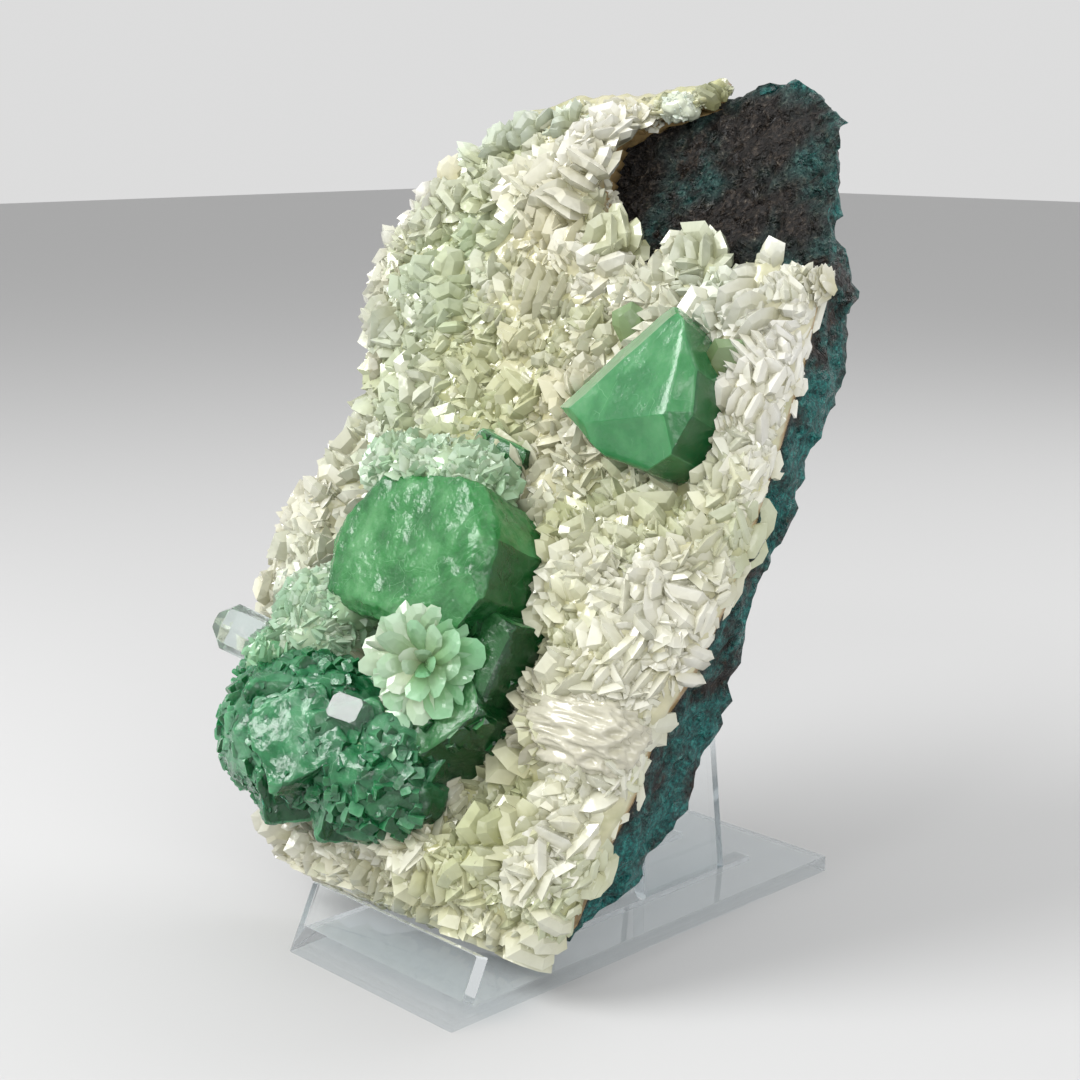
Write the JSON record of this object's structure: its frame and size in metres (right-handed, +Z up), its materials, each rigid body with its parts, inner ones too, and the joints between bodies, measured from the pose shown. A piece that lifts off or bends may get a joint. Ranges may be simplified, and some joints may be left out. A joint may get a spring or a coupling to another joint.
{
  "type": "mineral specimen on a display stand",
  "caption": "Green apophyllite crystals on a crust of pale stilbite blades over a dark basalt plate, leaning on a clear acrylic display stand.",
  "frame": {"origin": "centre of the stand base's underside, on the surface that it stands on", "axes": "+X to the viewer's right seen from the front, +Y towards the back, +Z up; the specimen leans back by 26.8 degrees about X"},
  "size_m": [0.1667, 0.1606, 0.2392],
  "materials": {
    "acrylic": "clear polished acrylic sheet",
    "basalt": "rough dark rock with a blue-green rind",
    "stilbite": "pearly cream and white crystal blades",
    "green_stilbite": "pearly pale green crystal blades",
    "green_crystal": "glassy, cloudy green crystal",
    "colourless_crystal": "clear crystal"
  },
  "bodies": {
    "root": {"stand_base": "acrylic", "back_fin_right": "acrylic", "back_fin_left": "acrylic", "basalt_matrix": "basalt", "stilbite_crust": "stilbite", "stilbite_rosette": "green_stilbite", "upper_apophyllite": "green_crystal", "middle_apophyllite": "green_crystal", "inner_apophyllite": "green_crystal", "small_apophyllite": "green_crystal", "lower_apophyllite_cluster": "green_crystal", "colourless_apophyllite": "colourless_crystal"}
  },
  "joints": []
}
